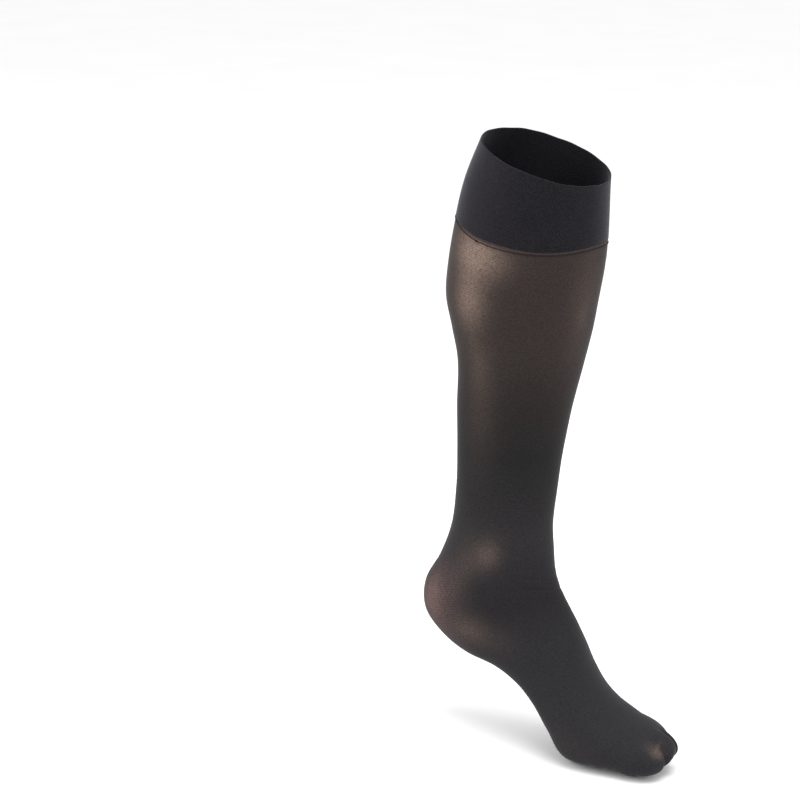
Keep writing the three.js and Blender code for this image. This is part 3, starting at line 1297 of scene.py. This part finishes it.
@dataclass
class Seams:
    """The linking line under the band, its knot, and the closing seam under the toes.

    Sizes are in millimetres. Each tail of the knot has its reach round in degrees, its fall, and
    its bend in degrees. The toe seam reaches as many degrees to each side of the sole's middle.
    """

    cloth: Cloth
    leg: SheerLeg
    thread_radius: float = 0.42
    thread_sides: int = 8
    line_girth: float = 345.0
    line_points: int = 1440
    stitch: float = 2.3
    knot_angle: float = 256.0
    knot_size: float = 0.3
    knot_points: int = 120
    knot_thread: float = 0.2
    tail_thread: float = 0.16
    tail_points: int = 24
    tails: tuple[tuple[float, float, float], ...] = ((-2.0, 1.3, 0.5), (1.7, 1.6, -0.5))
    toe_seam_station: float = 545.0
    toe_seam_reach: float = 52.0
    toe_seam_bow: float = 6.0
    toe_seam_points: int = 420
    toe_stitch: float = 1.7
    toe_thread_radius: float = 0.36

    def linking_line(self) -> Grid:
        """The beaded line of linking stitches round the leg.

        Its radius swells and thins once for each stitch, so that each loop shows.

        Returns:
            The closed thread.
        """
        angle = np.arange(self.line_points) / self.line_points * 360
        stitches = round(self.line_girth / self.stitch)
        beat = np.cos(np.radians(angle) * stitches)
        station = self.leg.line_station(angle)
        path = self.cloth.surface(station + 0.12 * beat, angle, np.full(self.line_points, 0.1))
        radius = self.thread_radius * (1 + 0.28 * beat)
        return thread_grid(path, radius, self.thread_sides, True)

    def knot(self) -> list[Grid]:
        """The small knot where the linking line ends, with its two thread tails.

        The knot is a trefoil, a thread that runs twice round while it weaves in and out three
        times. The tails lie on the cloth in slight curves.

        Returns:
            The knot and the tails.
        """
        at = self.knot_angle
        centre_station = float(self.leg.line_station(np.array([at]))[0])
        centre = self.cloth.surface(np.array([centre_station]), np.array([at]), np.array([0.5]))[0]
        out = self.cloth.form.normal(np.array([centre_station]), np.array([at]))[0]
        side = np.cross(out, [0, 0, 1.0])
        side = side / np.linalg.norm(side)
        up = np.cross(side, out)
        t = np.arange(self.knot_points) / self.knot_points * 2 * np.pi
        local = np.stack(
            [np.sin(t) + 2 * np.sin(2 * t), np.cos(t) - 2 * np.cos(2 * t), -np.sin(3 * t)], axis=1
        )
        path = centre + self.knot_size * (
            local[:, :1] * side + 0.7 * local[:, 1:2] * up + 0.8 * local[:, 2:] * out
        )
        thread = np.full(self.knot_points, self.knot_thread)
        grids = [thread_grid(path, thread, self.thread_sides - 1, True)]
        for reach, fall, bend in self.tails:
            s = np.linspace(0, 1, self.tail_points)
            tail_angle = at + reach * s + bend * np.sin(np.pi * s)
            tail_station = centre_station + fall * s
            tail = self.cloth.surface(tail_station, tail_angle, 0.45 - 0.3 * s)
            thread = np.full(self.tail_points, self.tail_thread)
            grids.append(thread_grid(tail, thread, self.thread_sides - 1, False))
        return grids

    def toe_seam(self) -> Grid:
        """The flat seam that closes the toe, under the toes from side to side.

        Its path bows towards the tip in the middle. Its radius beats with the stitches and thins
        out at the ends.

        Returns:
            The open thread, with its two ends.
        """
        s = np.linspace(-1, 1, self.toe_seam_points)
        angle = 180 + self.toe_seam_reach * s
        station = self.toe_seam_station + self.toe_seam_bow * (1 - s**2)
        path = self.cloth.surface(station, angle, np.full(self.toe_seam_points, 0.05))
        long = float(np.linalg.norm(np.diff(path, axis=0), axis=1).sum())
        beat = np.cos(s * np.pi * round(long / self.toe_stitch))
        radius = self.toe_thread_radius * (1 + 0.25 * beat) * (1 - 0.55 * np.abs(s) ** 12)
        return thread_grid(path, radius, self.thread_sides, False)

    def build(self, finish: SewingThread) -> list[bpy.types.Object]:
        """Makes the seams and dresses them.

        Args:
            finish: Their thread.

        Returns:
            The pieces.
        """
        thread = finish.make()
        pieces = [
            mesh_piece("linking_stitches", [self.linking_line()], thread),
            mesh_piece("linking_knot", self.knot(), thread),
            mesh_piece("toe_closing_seam", [self.toe_seam()], thread),
        ]
        for piece in pieces:
            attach(piece, "root")
        return pieces


@dataclass
class Studio:
    """A pale floor, soft white light from all round with three broad lamps, and the camera.

    Each lamp has its name, place, size in metres and power in watts, and faces the aim.
    """

    azimuth: float = 33.0
    elevation: float = 15.5
    distance: float = 2000.0
    focal_pixels: float = 2600.0
    picture_side: float = 800.0
    rim_pixel: tuple[float, float] = (545.8, 156.0)
    floor_radius: float = 9.0
    floor_middle: float = 0.4
    floor_thickness: float = 0.02
    floor_rings: int = 6
    floor_sides: int = 64
    aim: tuple[float, float, float] = (0.0, 0.0, -0.24)
    lamps: tuple[tuple[str, tuple[float, float, float], float, float], ...] = (
        ("key_lamp", (-1.9, -1.2, 0.9), 1.5, 20.0),
        ("side_lamp", (2.0, -0.4, 0.6), 1.2, 9.0),
        ("top_lamp", (0.35, -0.25, 1.5), 1.4, 24.0),
    )

    def build_camera(self) -> None:
        """Puts the camera at the photograph's angle, with the rim's middle at its pixel."""
        a, e = math.radians(self.azimuth), math.radians(self.elevation)
        right = np.array([math.cos(a), math.sin(a), 0.0])
        ahead = np.array([-math.sin(a) * math.cos(e), math.cos(a) * math.cos(e), -math.sin(e)])
        up = np.cross(right, ahead)
        aside = (self.rim_pixel[0] - self.picture_side / 2) / self.focal_pixels
        above = (self.picture_side / 2 - self.rim_pixel[1]) / self.focal_pixels
        eye = -(right * aside + up * above + ahead) * self.distance * MM
        lens = bpy.data.cameras.new("studio_camera")
        lens.sensor_width = 36.0
        lens.lens = 36.0 * self.focal_pixels / self.picture_side
        lens.clip_start, lens.clip_end = 0.05, 60.0
        camera = bpy.data.objects.new("studio_camera", lens)
        turn = Matrix(np.stack([right, up, -ahead], axis=1).tolist()).to_4x4()
        turn.translation = eye.tolist()
        camera.matrix_world = turn
        bpy.context.scene.collection.objects.link(camera)
        bpy.context.scene.camera = camera

    def build_floor(self, height: float) -> bpy.types.Object:
        """Lays the floor: rings of points on a level disc.

        Args:
            height: Its level in metres.

        Returns:
            The floor.
        """
        rings, sides = self.floor_rings, self.floor_sides
        radius = np.linspace(self.floor_radius, self.floor_middle, rings)[:, None]
        turn = (np.arange(sides) / sides * 2 * np.pi)[None, :]
        level = np.full((rings, sides), height)
        points = np.stack([radius * np.cos(turn), radius * np.sin(turn), level], axis=-1)
        under = points[::-1] - np.array([0, 0, self.floor_thickness])
        both = np.concatenate([under, points]) / MM
        poles = (
            np.array([0, 0, height - self.floor_thickness]) / MM,
            np.array([0, 0, height]) / MM,
        )
        share = np.arange(sides) / sides * 1000.0
        grid = Grid(both, share, np.arange(2 * rings) * 100.0, poles)
        floor = mesh_piece("studio_floor", [grid], PaleFloor().make())
        floor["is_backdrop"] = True
        return floor

    def build_lights(self) -> None:
        """Hangs three broad soft lamps and fills the room with even white light."""
        for name, place, side, power in self.lamps:
            light = bpy.data.lights.new(name, "AREA")
            light.shape = "DISK"
            light.size = side
            light.energy = power
            lamp = bpy.data.objects.new(name, light)
            back = np.array(place) - np.array(self.aim)
            lamp.location = place
            lamp.rotation_mode = "QUATERNION"
            direction = back / np.linalg.norm(back)
            level = np.cross([0.0, 0.0, 1.0], direction)
            level = level / np.linalg.norm(level)
            axes = np.stack([level, np.cross(direction, level), direction], axis=1)
            lamp.rotation_quaternion = Matrix(axes.tolist()).to_quaternion()
            bpy.context.scene.collection.objects.link(lamp)
        world = bpy.data.worlds.new("studio_white")
        world.use_nodes = True
        world.node_tree.nodes.clear()
        glow = add_node(
            world.node_tree, "ShaderNodeBackground", {"Color": (1, 1, 1, 1), "Strength": 1.0}
        )
        add_node(world.node_tree, "ShaderNodeOutputWorld", {"Surface": glow.outputs[0]})
        bpy.context.scene.world = world
        bpy.context.scene.view_settings.view_transform = "Standard"


def corners(box: tuple) -> list[list[float]]:
    """The two corners of a box as plain lists of numbers."""
    return [[round(float(value), 6) for value in corner] for corner in box]


def main() -> None:
    """Loads the frame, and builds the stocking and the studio."""
    logging.basicConfig(level=logging.INFO, format="%(name)s: %(message)s")
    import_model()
    cloth = Cloth()
    studio = Studio()
    studio.build_camera()
    band = TopBand(cloth).build(BandKnit())
    LOG.info("%s: %d faces", band.name, len(band.data.polygons))
    leg = SheerLeg(cloth)
    sheer = leg.build(SheerKnit())
    LOG.info("%s: %d faces", sheer.name, len(sheer.data.polygons))
    seams = Seams(cloth, leg).build(SewingThread())
    for piece in seams:
        LOG.info("%s: %d faces", piece.name, len(piece.data.polygons))
    (cloth.form.tip - leg.start) * MM
    made_box = corners(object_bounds())
    studio.build_floor(made_box[0][2])
    studio.build_lights()


if __name__ == "__main__":
    main()
